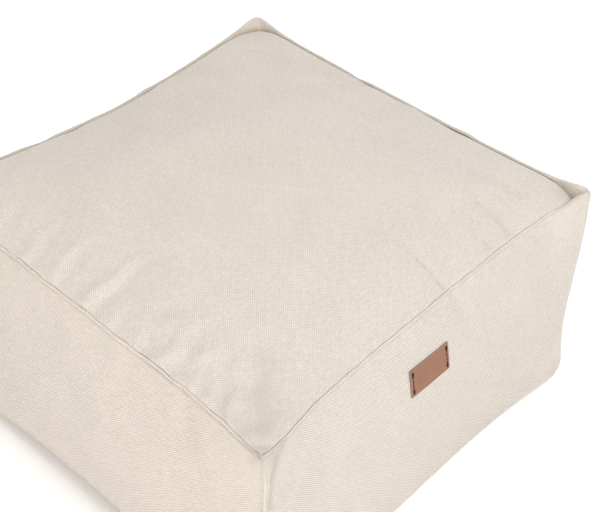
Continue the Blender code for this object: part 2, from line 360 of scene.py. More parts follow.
@dataclass(frozen=True)
class CoverSizes:
    """The driving sizes of the stuffed cover, the same as those of the solid that it stands for."""

    top_half: float = 256 * MM
    base_half: float = 267 * MM
    top_seam_height: float = 294.5 * MM
    base_seam_height: float = 12 * MM
    top_crown: float = 30 * MM
    side_crown: float = 28 * MM
    base_crown: float = 24 * MM
    side_sag: float = 0.7
    upright_draw_in: float = 3.5 * MM
    upright_settle: float = 2 * MM
    ear_bluntness: float = 9 * MM
    top_fill: float = 2.4
    side_fill_across: float = 2.8
    side_fill_up: float = 2.1
    base_fill: float = 6.0
    notch_width: float = 5 * MM
    swell: float = 1.2 * MM
    swell_turns: tuple[float, float, float] = (2.3, 3.1, 1.7)
    swell_starts: tuple[float, float, float] = (0.7, -1.1, 0.0)
    centre: tuple[float, float, float] = (2.98 * MM, 1.46 * MM, 0.0)

    @property
    def half_height(self) -> float:
        """Half the height between the base seams and the top seams."""
        return (self.top_seam_height - self.base_seam_height) / 2.0


TOP, BASE, FRONT, BACK, LEFT, RIGHT = (
    Panel[name] for name in ("TOP", "BASE", "FRONT", "BACK", "LEFT", "RIGHT")
)

LEVEL_SEAMS = (
    LevelSeam(FRONT, 1, 23 * MM, 4 * MM, 4.9),
    LevelSeam(BACK, 1, 19 * MM, 10 * MM, 1.5),
    LevelSeam(LEFT, 1, 14 * MM, 3 * MM, 4.9),
    LevelSeam(RIGHT, 1, 7.5 * MM, 1.5 * MM, 3.7),
    LevelSeam(FRONT, -1, 22.5 * MM, 1 * MM, 2.75),
    LevelSeam(BACK, -1, 20 * MM, 3 * MM, 2.6),
    LevelSeam(LEFT, -1, 24 * MM, 3 * MM, 2.35),
    LevelSeam(RIGHT, -1, 16.5 * MM, 2 * MM, 2.6),
)

# The sizes of a corner: pull_x, pull_y, drop, lift, out, notch, depth, reach_x and reach_y, then the shift.
CORNERS = (
    Corner(-1, -1, 1, *millimetres(8, 16, 6, 8, 0, 2, 34, 48, 48), millimetres(-2, -1, -2)),
    Corner(1, -1, 1, *millimetres(15, 13, 7, 16, 3, 4, 15, 50, 64), millimetres(-3.5, 3.5, -2.5)),
    Corner(1, 1, 1, *millimetres(14, 18, 5, 13, 2, 2, 13, 75, 66), millimetres(0.5, -1, 0)),
    Corner(-1, 1, 1, *millimetres(13, 15, 6, 12, 2, 5, 13, 55, 55)),
    *(
        Corner(x, y, -1, *millimetres(5, 5, 0, 0, 0, 0, 24, 30, 30))
        for x, y in ((-1, -1), (1, -1), (1, 1), (-1, 1))
    ),
)

# Broad gathers: of the top, below its near seams, then of the sides that are not seen.
PUCKERS = (
    Pucker(TOP, RIGHT, -0.30, 0.00, 60 * MM, 14 * MM, -1.8 * MM),
    Pucker(TOP, RIGHT, -0.08, 0.05, 55 * MM, 13 * MM, 1.4 * MM),
    Pucker(TOP, RIGHT, 0.22, -0.05, 65 * MM, 14 * MM, -1.4 * MM),
    Pucker(TOP, BACK, 0.30, 0.00, 60 * MM, 15 * MM, 1.2 * MM),
    Pucker(TOP, BACK, -0.25, 0.05, 70 * MM, 14 * MM, -1.4 * MM),
    Pucker(FRONT, TOP, 0.78, 0.15, 80 * MM, 12 * MM, -2.0 * MM),
    Pucker(LEFT, TOP, -0.56, 0.00, 130 * MM, 14 * MM, -2.6 * MM),
    Pucker(LEFT, TOP, -0.20, -0.05, 140 * MM, 13 * MM, 2.0 * MM),
    Pucker(LEFT, TOP, 0.42, -0.50, 150 * MM, 16 * MM, -2.2 * MM),
    Pucker(RIGHT, TOP, 0.30, 0.10, 120 * MM, 14 * MM, -2.2 * MM),
    Pucker(RIGHT, TOP, -0.35, -0.10, 110 * MM, 13 * MM, 1.8 * MM),
    Pucker(BACK, TOP, -0.40, 0.10, 120 * MM, 14 * MM, -2.2 * MM),
    Pucker(BACK, TOP, 0.20, 0.05, 120 * MM, 13 * MM, 1.8 * MM),
)


def drawn(
    panel: Panel,
    start: tuple[float, float],
    end: tuple[float, float],
    width: float,
    height: float,
    step: float = 0.0,
    fading: float = 0.6,
    soft: float = 5.0,
    shade: float = 0.0,
) -> Fold:
    """A fold whose width, height, step and soft are given in millimetres."""
    return Fold(panel, start, end, *millimetres(width, height, step), fading, soft * MM, shade)


# The creases that the photo shows, each placed one by one.
FOLDS = (
    # Streaks that run from the left seam onto the top, and the soft dips past them.
    drawn(TOP, (-0.97, 0.60), (-0.84, 0.62), 6, 0.5, 1.2, soft=9),
    drawn(TOP, (-0.97, 0.351), (-0.80, 0.393), 6, 0.5, 2.0, soft=9),
    drawn(TOP, (-0.96, 0.181), (-0.77, 0.237), 6, 0.5, 2.1, soft=9),
    drawn(TOP, (-0.98, -0.021), (-0.72, -0.031), 6.5, 1.2, 3.2, soft=10),
    drawn(TOP, (-0.98, -0.161), (-0.89, -0.146), 4.5, 0.4, 1.6, soft=6),
    drawn(TOP, (-0.97, -0.304), (-0.90, -0.274), 5, 0.5, 2.0, soft=8),
    drawn(TOP, (-0.96, -0.444), (-0.76, -0.438), 7.5, 0.9, 2.5, soft=10),
    drawn(TOP, (-0.96, -0.589), (-0.89, -0.560), 6, 0.5, 2.0, soft=8),
    drawn(TOP, (-0.97, -0.680), (-0.88, -0.650), 7, 0.5, 2.4, soft=8),
    drawn(TOP, (-0.98, -0.790), (-0.90, -0.760), 7, 0.5, 2.6, soft=8),
    drawn(TOP, (-0.84, -0.30), (-0.80, -0.33), 8, 0.0, -1.2, 0.0, 9),
    drawn(TOP, (-0.86, -0.52), (-0.83, -0.53), 8, 0.0, -1.2, 0.0, 8),
    drawn(TOP, (-0.83, -0.66), (-0.81, -0.63), 8, 0.0, -1.5, 0.0, 8),
    drawn(TOP, (-0.93, -0.73), (-0.91, -0.72), 6, 0.0, -1.6, 0.0, 6),
    # The top beside the nearest corner.
    drawn(TOP, (-0.885, -0.90), (-0.70, -0.72), 12, -0.7, -1.2, 0.2, 14, 0.15),
    drawn(TOP, (-0.982, -0.866), (-0.896, -0.974), 5, 1.6, 0.0, 0.2, 4),
    drawn(TOP, (-0.99, -0.925), (-0.945, -0.985), 3, -1.8, 0.0, 0.0, 3),
    # Creases that run from the front seam onto the top.
    drawn(TOP, (0.099, -0.975), (0.128, -0.73), 2.0, -1.2, 0.0, 0.5, 5, 0.26),
    drawn(TOP, (0.14, -0.96), (0.155, -0.74), 5, 0.9, 0.0, 0.6),
    drawn(TOP, (0.544, -0.968), (0.580, -0.88), 3.0, -1.4, 0.0, 0.0, 4, 0.16),
    drawn(TOP, (0.580, -0.88), (0.600, -0.76), 4.5, -1.4, 0.0, 0.5, 8, 0.14),
    drawn(TOP, (0.409, -0.967), (0.430, -0.93), 2.0, -0.8, 0.0, 0.3, 3, 0.12),
    drawn(TOP, (0.64, -0.96), (0.67, -0.705), 6, 1.5, 0.0, 0.5),
    drawn(TOP, (0.807, -0.82), (0.753, -0.365), 11, -2.2, 0.0, 0.7, 10),
    drawn(TOP, (0.43, -0.95), (0.52, -0.70), 6, -0.9, 0.0, 0.6),
    # The front panel below its top seam, then along the upright seam.
    drawn(FRONT, (0.129, 0.966), (0.165, 0.60), 6, -1.6, 0.0, 0.3, 8, 0.10),
    drawn(FRONT, (0.52, 0.95), (0.53, 0.75), 6, 1.2, 0.0, 0.5, 8),
    drawn(FRONT, (0.66, 0.92), (0.71, 0.73), 4, -1.0, 0.0, 0.4, 6, 0.10),
    drawn(FRONT, (0.21, 0.86), (0.27, 0.52), 7, 1.8, 0.0, 0.5, 10),
    drawn(FRONT, (-0.868, 0.984), (-0.921, 0.898), 5.0, -0.8, 0.0, 0.0, 4, 0.34),
    drawn(FRONT, (-0.921, 0.898), (-0.952, 0.78), 5.0, -0.8, 0.0, 0.0, 4, 0.40),
    drawn(FRONT, (-0.952, 0.78), (-0.970, 0.55), 4.5, -1.0, 0.0, 0.0, 6, 0.32),
    drawn(FRONT, (-0.972, 0.55), (-0.972, -0.80), 4.0, -1.2, 0.0, 0.4, 8, 0.16),
    # The left panel.
    drawn(LEFT, (-0.16, 0.60), (-0.17, 0.05), 9, 0.8, 1.0, 0.3, 14),
    drawn(LEFT, (-0.58, 0.72), (-0.60, 0.30), 10, -1.2, 0.0, 0.3, 14),
    drawn(LEFT, (-0.955, 0.80), (-0.945, -0.70), 4.5, -1.3, 0.0, 0.3, 8),
    drawn(LEFT, (-0.91, 0.82), (-0.955, 0.55), 5, -1.4, 0.0, 0.5, 8),
    drawn(LEFT, (-0.88, 0.877), (-0.95, 0.94), 2.2, -1.4, 0.0, 0.0, 2),
    drawn(LEFT, (-0.80, 0.63), (-0.93, 0.56), 4, 0.9, 0.0, 0.0, 8),
    drawn(LEFT, (-0.42, 0.966), (-0.92, 0.966), 1.0, -0.9, 0.0, 0.0, 20, 0.25),
)

# The near seams of the top are neat and flat, the far ones stand up in a thick roll, darkened by painted
# shade with some soil.
NEAR_TOP_ROLL = SeamRoll(
    FRONT,
    TOP,
    *millimetres(1.0, 2.3, 1.7),
    lift=0.4,
    shade=0.95,
    edge_depth=0.6 * MM,
    edge_distance=4.8 * MM,
    edge_shade=0.3,
    line_end=7 * MM,
    under_shade=0.10,
)
FAR_TOP_ROLL = SeamRoll(
    BACK,
    TOP,
    *millimetres(3.6, 3.8, 3.0),
    lift=0.8,
    line_depth=3.2 * MM,
    line_width=3.0 * MM,
    uneven=0.08,
    wobble=0.5 * MM,
    roll_end=22 * MM,
    roll_shade=0.45,
    shade_end=75 * MM,
)
UPRIGHT_ROLL = SeamRoll(
    RIGHT, FRONT, *millimetres(1.3, 2.2, 1.5), lift=0.3, edge_depth=0.4 * MM, line_end=26 * MM
)

SEAM_ROLLS = (
    NEAR_TOP_ROLL,
    replace(NEAR_TOP_ROLL, rolled=LEFT, height=1.1 * MM, edge_shade=0.4, wobble=0.9 * MM, under_shade=0.0),
    FAR_TOP_ROLL,
    replace(FAR_TOP_ROLL, rolled=RIGHT, roll_shade=0.42, shade_end=80 * MM),
    *(
        SeamRoll(rolled, BASE, *millimetres(1.4, 2.8, 1.6), lift=0.3, wobble=0.0)
        for rolled in (FRONT, LEFT, BACK, RIGHT)
    ),
    SeamRoll(
        LEFT, FRONT, *millimetres(1.0, 3.0, 1.8), lift=0.4, shade=0.8, line_depth=1.2 * MM, line_end=30 * MM
    ),
    UPRIGHT_ROLL,
    replace(UPRIGHT_ROLL, rolled=BACK, beside=RIGHT),
    replace(UPRIGHT_ROLL, rolled=BACK, beside=LEFT),
)


@dataclass(frozen=True)
class CoverShape:
    """Carries points of the plain cube to their places on the stuffed cover."""

    sizes: CoverSizes = CoverSizes()
    pucker_at_seam: float = 0.35
    pucker_fading: float = 1.5
    fold_at_seam: float = 0.35
    fold_start: float = 5 * MM
    fold_wander: float = 0.3
    fold_turn: float = 8 * MM
    crumple_height: float = 0.22 * MM
    crumple_lengths: tuple[float, float] = (22 * MM, 75 * MM)
    crumple_waves: int = 40
    crumple_start: float = 15 * MM
    crumple_seed: int = 5

    def half_width(self, cube: np.ndarray) -> np.ndarray:
        """Half the width across the corner tips at the height of each point."""
        rise = (cube[:, 2] + 1.0) / 2.0
        return self.sizes.base_half + (self.sizes.top_half - self.sizes.base_half) * rise

    def depths(self, cube: np.ndarray) -> np.ndarray:
        """Distances from the nearest side in X and in Y, and from the nearest level seam."""
        half = self.half_width(cube)
        spans = np.stack([half, half, np.full(len(cube), self.sizes.half_height)], axis=1)
        return (1.0 - np.abs(cube)) * spans

    def from_seam(self, cube: np.ndarray) -> np.ndarray:
        """Distance of each point from the nearest seam."""
        return np.sort(self.depths(cube), axis=1)[:, 1]

    def depth_from(self, cube: np.ndarray, panel: Panel) -> np.ndarray:
        """Distance of each point from one panel, measured along the cloth beside it."""
        span = self.sizes.half_height if panel.axis == 2 else self.half_width(cube)
        return (1.0 - cube[:, panel.axis] * panel.side) * span

    def box(self, cube: np.ndarray) -> np.ndarray:
        """The straight-sided box through the corner tips."""
        sizes = self.sizes
        half = self.half_width(cube)
        height = sizes.base_seam_height + sizes.half_height * (cube[:, 2] + 1.0)
        return np.stack([cube[:, 0] * half, cube[:, 1] * half, height], axis=1)

    def seam_pull(self, cube: np.ndarray) -> np.ndarray:
        """The panels draw each level seam in between its corners, and the upright seams a little."""
        pull = np.zeros_like(cube)
        for seam in LEVEL_SEAMS:
            axis = seam.side.axis
            nearness = (1.0 + cube[:, axis] * seam.side.side) / 2.0
            share = nearness * (1.0 + cube[:, 2] * seam.level) / 2.0
            amount = fullness(cube[:, 1 - axis], seam.power) * share
            pull[:, axis] -= seam.side.side * seam.draw_in * amount
            pull[:, 2] -= seam.drop * amount
        height = cube[:, 2]
        upright = self.sizes.upright_draw_in * fullness(height, ROUND_ARC)
        upright = upright - self.sizes.upright_settle * np.sin(math.pi * height)
        pull[:, 0] -= cube[:, 0] * upright
        pull[:, 1] -= cube[:, 1] * upright
        return pull

    def gather(self, cube: np.ndarray) -> np.ndarray:
        """The seams gather in at the corners, and an ear stands out below them."""
        pull = np.zeros_like(cube)
        away = self.depths(cube)
        rounded = blunt(away, self.sizes.ear_bluntness)
        from_upright = np.maximum(away[:, 0], away[:, 1])
        for corner in CORNERS:
            where = np.array([corner.x, corner.y, corner.level])
            here = np.all(cube * where >= 0.0, axis=1)
            share = np.prod((1.0 + cube * where) / 2.0, axis=1, keepdims=True)
            pull += np.array(corner.shift) * share
            near, near_ear = (
                fade(apart[:, 0], corner.reach_x) * fade(apart[:, 1], corner.reach_y) * here
                for apart in (away, rounded)
            )
            inwards = np.array([corner.pull_x, corner.pull_y, corner.drop]) * -where
            outwards = np.array([corner.out, corner.out, corner.lift]) * where
            ear = arch(away[:, 2] / corner.depth)
            pull += inwards * (near * fade(away[:, 2], corner.depth))[:, None]
            pull += outwards * (near_ear * ear)[:, None]
            notch = corner.notch * bell(from_upright, self.sizes.notch_width) * ear * here
            pull -= unit(where.astype(float)) * notch[:, None]
        return pull

    def crown(self, cube: np.ndarray) -> np.ndarray:
        """The filling pushes each panel out."""
        sizes = self.sizes
        crown = np.zeros_like(cube)
        x, y, z = cube.T
        top = sizes.top_crown * fullness(x, sizes.top_fill) * fullness(y, sizes.top_fill)
        base = sizes.base_crown * fullness(x, sizes.base_fill) * fullness(y, sizes.base_fill)
        crown[:, 2] = np.where(TOP.holds(cube), top, 0.0) - np.where(BASE.holds(cube), base, 0.0)
        sunk = 2.0 * ((z + 1.0) / 2.0) ** sizes.side_sag - 1.0
        upright = fullness(sunk, sizes.side_fill_up) * sizes.side_crown
        on_x = LEFT.holds(cube) | RIGHT.holds(cube)
        on_y = FRONT.holds(cube) | BACK.holds(cube)
        crown[:, 0] = np.where(on_x, x * fullness(y, sizes.side_fill_across) * upright, 0.0)
        crown[:, 1] = np.where(on_y, y * fullness(x, sizes.side_fill_across) * upright, 0.0)
        return crown

    def swell(self, cube: np.ndarray) -> np.ndarray:
        """A slow unevenness, none at the seams."""
        sizes = self.sizes
        waves = np.sin(cube * np.array(sizes.swell_turns) + np.array(sizes.swell_starts)).sum(axis=1)
        inside = fullness(np.sort(np.abs(cube), axis=1)[:, 1], ROUND_ARC)
        sides = unit(np.where(np.abs(cube) > 1.0 - TINY, np.sign(cube), 0.0))
        return sides * (sizes.swell * waves * inside)[:, None]

    def stuffed(self, cube: np.ndarray) -> np.ndarray:
        """Where each point of the plain cube lies on the smooth stuffed cover.

        Args:
            cube: Points on the skin of the plain cube, one row each.

        Returns:
            Their places in the part's frame. The floor stops them at z = 0.
        """
        places = self.box(cube) + self.seam_pull(cube) + self.gather(cube)
        places += self.crown(cube) + self.swell(cube) - np.array(self.sizes.centre)
        places[:, 2] = np.maximum(places[:, 2], 0.0)
        return places

    def puckers(self, cube: np.ndarray) -> np.ndarray:
        """Height of the gathers and creases at each point."""
        height = np.zeros(len(cube))
        half = self.half_width(cube)
        for pucker in PUCKERS:
            depth = self.depth_from(cube, pucker.beside)
            here = pucker.panel.holds(cube) & (depth < pucker.length)
            axis = third_axis(pucker.panel, pucker.beside)
            span = half if axis < 2 else self.sizes.half_height
            offset = (cube[:, axis] - pucker.along) * span - pucker.slant * depth
            start = np.minimum(1.0, self.pucker_at_seam + depth / pucker.start)
            fading = np.clip(1.0 - depth / pucker.length, 0.0, None) ** self.pucker_fading
            height += np.where(here, pucker.height * bell(offset, pucker.width) * start * fading, 0.0)
        return height

    def folds(self, cube: np.ndarray) -> tuple[np.ndarray, np.ndarray]:
        """Height of the drawn folds at each point, and how much painted shade, in the seams' colour, they
        take.
        """
        height = np.zeros(len(cube))
        shade = np.zeros(len(cube))
        flat = self.box(cube)
        depths = self.depths(cube)
        for number, fold in enumerate(FOLDS):
            ways = fold.panel.ways()
            ends = np.zeros((2, 3))
            ends[:, fold.panel.axis] = fold.panel.side
            ends[:, ways] = fold.start, fold.end
            ends = self.box(ends)[:, ways]
            way = ends[1] - ends[0]
            length = math.hypot(*way)
            way = way / length
            offset = flat[:, ways] - ends[0]
            along = offset @ way
            aside = (offset @ np.array([-way[1], way[0]])) / fold.width
            aside = aside + self.fold_wander * np.sin(along / self.fold_turn + number)
            past = np.maximum(-along, along - length)
            run = np.where(past > 0.0, bell(past, fold.soft), 1.0)
            run = run * (1.0 - fold.fading * np.clip(along / length, 0.0, 1.0))
            run = run * np.minimum(1.0, self.fold_at_seam + depths[:, ways].min(axis=1) / self.fold_start)
            run = np.where(fold.panel.holds(cube), run, 0.0)
            ridge = np.exp(-(aside**2))
            leaning = fold.step * aside * np.exp(0.5 - aside**2 / 2.0)
            height += run * (fold.height * ridge + leaning)
            # Painted shade along the fold's middle line, where its hollow lies.
            shade = np.maximum(shade, fold.shade * run * ridge)
        return height, shade

    def crumple(self, cube: np.ndarray) -> np.ndarray:
        """A fine unevenness of the cloth, none at the seams: a sum of waves in many directions."""
        chance = np.random.default_rng(self.crumple_seed)
        ways = unit(chance.normal(size=(self.crumple_waves, 3)))
        lengths = chance.uniform(*self.crumple_lengths, self.crumple_waves)
        starts = chance.uniform(0.0, 2.0 * math.pi, self.crumple_waves)
        turns = self.box(cube) @ (ways / lengths[:, None]).T * 2.0 * math.pi + starts
        inside = np.minimum(1.0, self.from_seam(cube) / self.crumple_start)
        return self.crumple_height * np.sin(turns).mean(axis=1) * math.sqrt(self.crumple_waves) * inside


@dataclass(frozen=True)
class ClothPass:
    """The give of the canvas: a coarse copy of the cover is simulated, blown up and held at its seams.

    The cloth is cut a little large, so that it ripples as it fills. Only the ripples are kept, because the
    shape already has the wide swelling, and they are left out round the stiff patch.
    """

    shape: CoverShape
    cell: float = 9 * MM
    hold: float = 0.5 * MM
    pressure: float = 4.0
    growth: float = 0.004
    frames: int = 20
    quality: int = 5
    stiffness: float = 15.0
    bending: float = 0.5
    mass: float = 0.3
    first_crumple: float = 3.0
    wide_cells: float = 3.0
    share: float = 0.7
    cap: float = 2.5 * MM
    seam_reach: float = 15 * MM
    patch_reach: float = 25 * MM

    def grid(self) -> CubeGrid:
        """Even lines, about a cell apart."""
        sizes = self.shape.sizes
        spans = (sizes.top_half, sizes.top_half, sizes.half_height)
        return CubeGrid(tuple(np.linspace(-1.0, 1.0, 2 * math.ceil(span / self.cell) + 1) for span in spans))

    def blown_up(self, grid: CubeGrid, start: np.ndarray) -> np.ndarray:
        """Simulates the cloth, held at its seams and on the floor.

        Args:
            grid: The points and cells of the cloth.
            start: Where each point starts.

        Returns:
            Where each point ends.
        """
        held = (self.shape.from_seam(grid.points) < self.hold) | BASE.holds(grid.points)
        mesh = new_mesh("cloth_trial", start, grid.quads)
        trial = bpy.data.objects.new("cloth_trial", mesh)
        scene = bpy.context.scene
        scene.collection.objects.link(trial)
        trial.vertex_groups.new(name="seams").add(np.flatnonzero(held).tolist(), 1.0, "REPLACE")
        cloth = trial.modifiers.new("filling", "CLOTH")
        cloth.collision_settings.use_collision = False
        cloth.point_cache.frame_end = self.frames
        cloth.settings.effector_weights.gravity = 0.0
        values = {
            "vertex_group_mass": "seams",
            "use_pressure": True,
            "uniform_pressure_force": self.pressure,
            "shrink_min": -self.growth,
            "quality": self.quality,
            "tension_stiffness": self.stiffness,
            "compression_stiffness": self.stiffness,
            "bending_stiffness": self.bending,
            "mass": self.mass,
        }
        for name, value in values.items():
            setattr(cloth.settings, name, value)
        for frame in range(1, self.frames + 1):
            scene.frame_set(frame)
        evaluated = trial.evaluated_get(bpy.context.evaluated_depsgraph_get())
        places = np.empty(start.size)
        evaluated.data.vertices.foreach_get("co", places)
        bpy.data.objects.remove(trial)
        bpy.data.meshes.remove(mesh)
        scene.frame_set(1)
        return places.reshape(-1, 3)

    def wide_part(self, heights: np.ndarray) -> np.ndarray:
        """A grid of heights smoothed over several cells, which leaves the wide swelling."""
        for axis in (0, 1):
            places = np.arange(heights.shape[axis])
            weights = bell(np.subtract.outer(places, places), self.wide_cells)
            weights /= weights.sum(axis=1, keepdims=True)
            heights = np.moveaxis(np.tensordot(weights, heights, (1, axis)), 0, axis)
        return heights

    def calm(self, cube: np.ndarray) -> np.ndarray:
        """0 under the patch, and 1 away from it."""
        middle = self.shape.box(np.array([[PATCH_PLACE[0], FRONT.side, PATCH_PLACE[1]]]))[0]
        apart = np.abs(self.shape.box(cube) - middle)[:, [0, 2]] - np.array(PATCH_SIZE) / 2.0
        apart = np.linalg.norm(np.clip(apart, 0.0, None), axis=1)
        return np.where(FRONT.holds(cube), settle(apart / self.patch_reach), 1.0)

    def ripples(self, cube: np.ndarray) -> np.ndarray:
        """Height of the ripples at each point.

        Args:
            cube: Points on the skin of the plain cube.

        Returns:
            Heights along the normals, none at the seams, on the base and under the patch.
        """
        shape, grid = self.shape, self.grid()
        smooth = shape.stuffed(grid.points)
        normals = grid.normals(smooth)
        known = shape.puckers(grid.points)
        start = smooth + normals * (known + self.first_crumple * shape.crumple(grid.points))[:, None]
        move = self.blown_up(grid, start) - smooth
        give = np.sum(move * normals, axis=1) - known
        height = np.zeros(len(cube))
        for panel in (LEFT, RIGHT, FRONT, BACK, TOP):
            here = panel.holds(cube)
            swelling = give[grid.numbers[panel]]
            height[here] = read_grid(swelling - self.wide_part(swelling), cube[here][:, panel.turned_ways()])
        inside = np.minimum(1.0, shape.from_seam(cube) / self.seam_reach)
        height = self.cap * np.tanh(self.share * height / self.cap) * inside * self.calm(cube)
        LOG.info("cloth pass: ripples %.2f mm, up to %.2f mm", height.std() / MM, np.abs(height).max() / MM)
        return height


def srgb(code: str) -> tuple[float, float, float, float]:
    """A linear colour from its sRGB hex code, by the standard's curve with its straight dark end."""
    parts = [int(code[place : place + 2], 16) / 255.0 for place in (1, 3, 5)]
    low, high = [part / 12.92 for part in parts], [((part + 0.055) / 1.055) ** 2.4 for part in parts]
    red, green, blue = (a if part <= 0.04045 else b for part, a, b in zip(parts, low, high))
    return red, green, blue, 1.0


def add(tree: bpy.types.NodeTree, kind: str, inputs: dict[Any, Any], **settings: Any) -> bpy.types.Node:
    """Adds a node with its settings, its values and its links.

    Args:
        tree: The node tree that it goes into.
        kind: The node's type.
        inputs: A value, an output, or a node whose first output is meant, for each input by its name,
            identifier or number.
        **settings: The node's own properties.

    Returns:
        The node.
    """
    node = tree.nodes.new(kind)
    for name, value in settings.items():
        setattr(node, name, value)
    by_identifier = {socket.identifier: socket for socket in node.inputs}
    for key, value in inputs.items():
        socket = by_identifier.get(key) or node.inputs[key]
        if isinstance(value, bpy.types.Node):
            value = value.outputs[0]
        if isinstance(value, bpy.types.NodeSocket):
            tree.links.new(value, socket)
        else:
            socket.default_value = value
    return node


def new_material(name: str) -> tuple[bpy.types.Material, bpy.types.NodeTree]:
    """An empty node material and its tree."""
    material = bpy.data.materials.new(name)
    material.use_nodes = True
    material.node_tree.nodes.clear()
    return material, material.node_tree


def layered(tree: bpy.types.NodeTree, ground: Any, *layers: tuple[Any, Any]) -> bpy.types.NodeSocket:
    """Lays colours over a ground, each as far as its share shows it.

    Args:
        tree: The material's node tree.
        ground: The lowest colour.
        *layers: The share and the colour of each layer, from the lowest up.

    Returns:
        The output with the colour that is seen.
    """
    for share, colour in layers:
        inputs = {"Factor_Float": share, "A_Color": ground, "B_Color": colour}
        ground = add(tree, "ShaderNodeMix", inputs, data_type="RGBA").outputs[2]
    return ground


def surface_of(tree: bpy.types.NodeTree, inputs: dict[str, Any]) -> None:
    """Ends a material's tree with the surface that light meets."""
    shader = add(tree, "ShaderNodeBsdfPrincipled", inputs)
    add(tree, "ShaderNodeOutputMaterial", {"Surface": shader})


def new_mesh(name: str, places: np.ndarray, quads: np.ndarray) -> bpy.types.Mesh:
    """A mesh of four-sided cells."""
    mesh = bpy.data.meshes.new(name)
    mesh.from_pydata(places.tolist(), [], quads.tolist())
    return mesh


def mark(mesh: bpy.types.Mesh, name: str, values: np.ndarray) -> None:
    """Gives each point of a mesh a number that its material reads."""
    mesh.attributes.new(name, "FLOAT", "POINT").data.foreach_set("value", values.astype(np.float32))


def place_mesh(name: str, mesh: bpy.types.Mesh, finish: bpy.types.Material) -> bpy.types.Object:
    """A smooth object in the scene, with its place in its mesh."""
    mesh.shade_smooth()
    mesh.materials.append(finish)
    piece = bpy.data.objects.new(name, mesh)
    bpy.context.scene.collection.objects.link(piece)
    return piece


